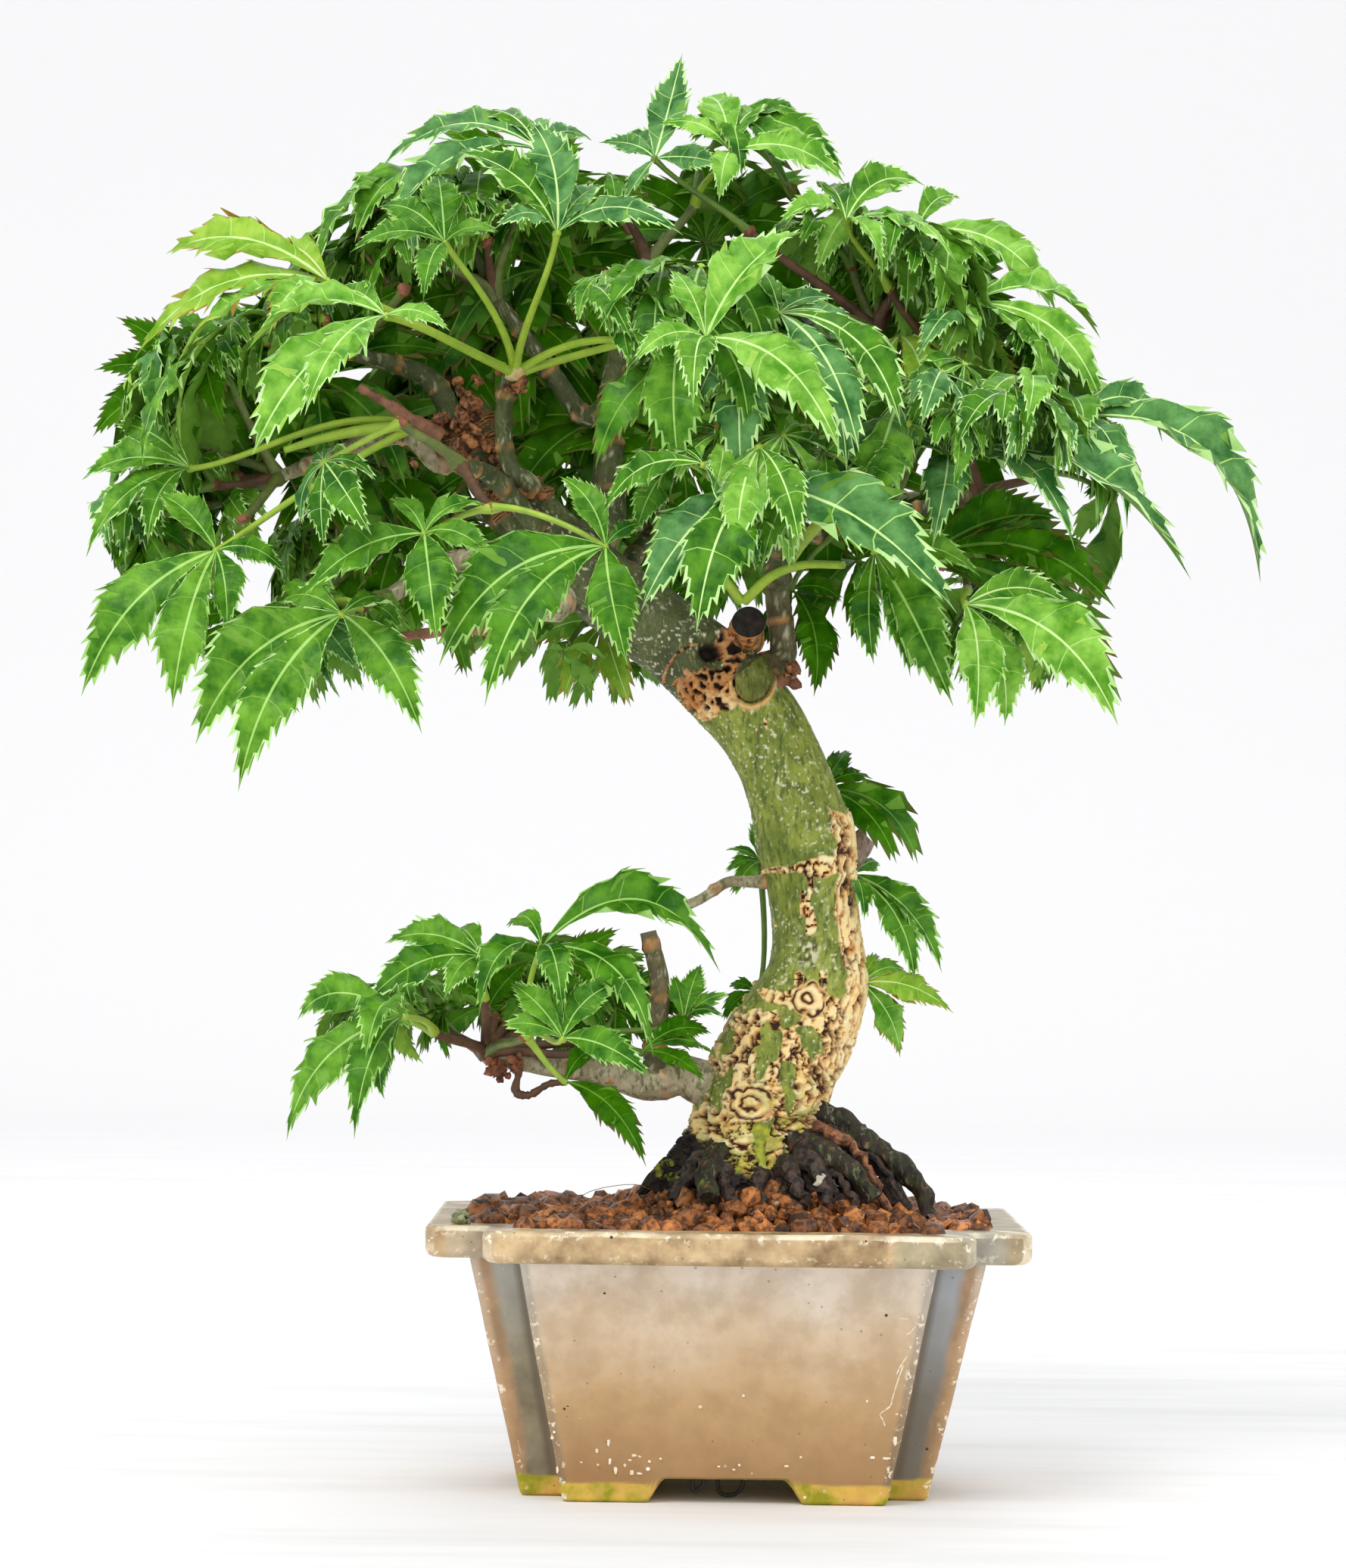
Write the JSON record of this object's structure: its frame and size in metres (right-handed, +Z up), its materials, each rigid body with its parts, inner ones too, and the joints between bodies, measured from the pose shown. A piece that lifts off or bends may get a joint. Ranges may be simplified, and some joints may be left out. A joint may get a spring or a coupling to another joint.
{
  "type": "potted japanese maple bonsai",
  "caption": "Small bonsai maple with a curved trunk, exposed roots and layered, deeply lobed leaves, growing in a glazed rectangular pot with notched corners and low feet.",
  "frame": {"origin": "middle of the whole plant's box, on the level that the pot's feet stand on; the middle of the pot lies 12.2 mm along +X from it", "axes": "+Z up; +X along the pot's long side, away from the side the tree leans to; -Y is the tree's front"},
  "size_m": [0.205, 0.132, 0.2482],
  "materials": {
    "glaze": "satin",
    "soil": "matte",
    "bark": "matte",
    "young_bark": "matte",
    "root": "matte",
    "leaf": "matte"
  },
  "bodies": {
    "root": {"bough_apex": "young_bark", "bough_back_centre": "young_bark", "bough_back_left": "young_bark", "bough_back_upper": "young_bark", "bough_front_centre": "young_bark", "bough_front_left": "young_bark", "bough_front_right": "young_bark", "bough_front_upper": "young_bark", "bough_left": "young_bark", "bough_left_back": "young_bark", "bough_left_low": "young_bark", "bough_right": "young_bark", "bough_right_back": "young_bark", "bough_right_low": "young_bark", "bough_top_left": "young_bark", "bough_upper_left": "young_bark", "bough_upper_right": "young_bark", "crown_apex": "leaf", "crown_back_centre": "leaf", "crown_back_left": "leaf", "crown_back_upper": "leaf", "crown_front_centre": "leaf", "crown_front_left": "leaf", "crown_front_right": "leaf", "crown_front_upper": "leaf", "crown_left": "leaf", "crown_left_back": "leaf", "crown_left_low": "leaf", "crown_low_centre": "leaf", "crown_right": "leaf", "crown_right_back": "leaf", "crown_right_low": "leaf", "crown_top_left": "leaf", "crown_top_right": "leaf", "crown_upper_left": "leaf", "crown_upper_right": "leaf", "cut_shoot": "young_bark", "low_back": "leaf", "low_bough": "young_bark", "low_inner": "leaf", "low_outer": "leaf", "low_upright": "young_bark", "main_limb": "bark", "pot": "glaze", "right_stem": "young_bark", "root_back": "root", "root_front": "root", "root_left": "root", "root_right_arch": "root", "root_right_inner": "root", "side_lower": "leaf", "side_middle": "leaf", "side_upper": "leaf", "soil": "soil", "thin_twig": "young_bark", "trunk": "bark", "trunk_left": "leaf"}
  },
  "joints": []
}
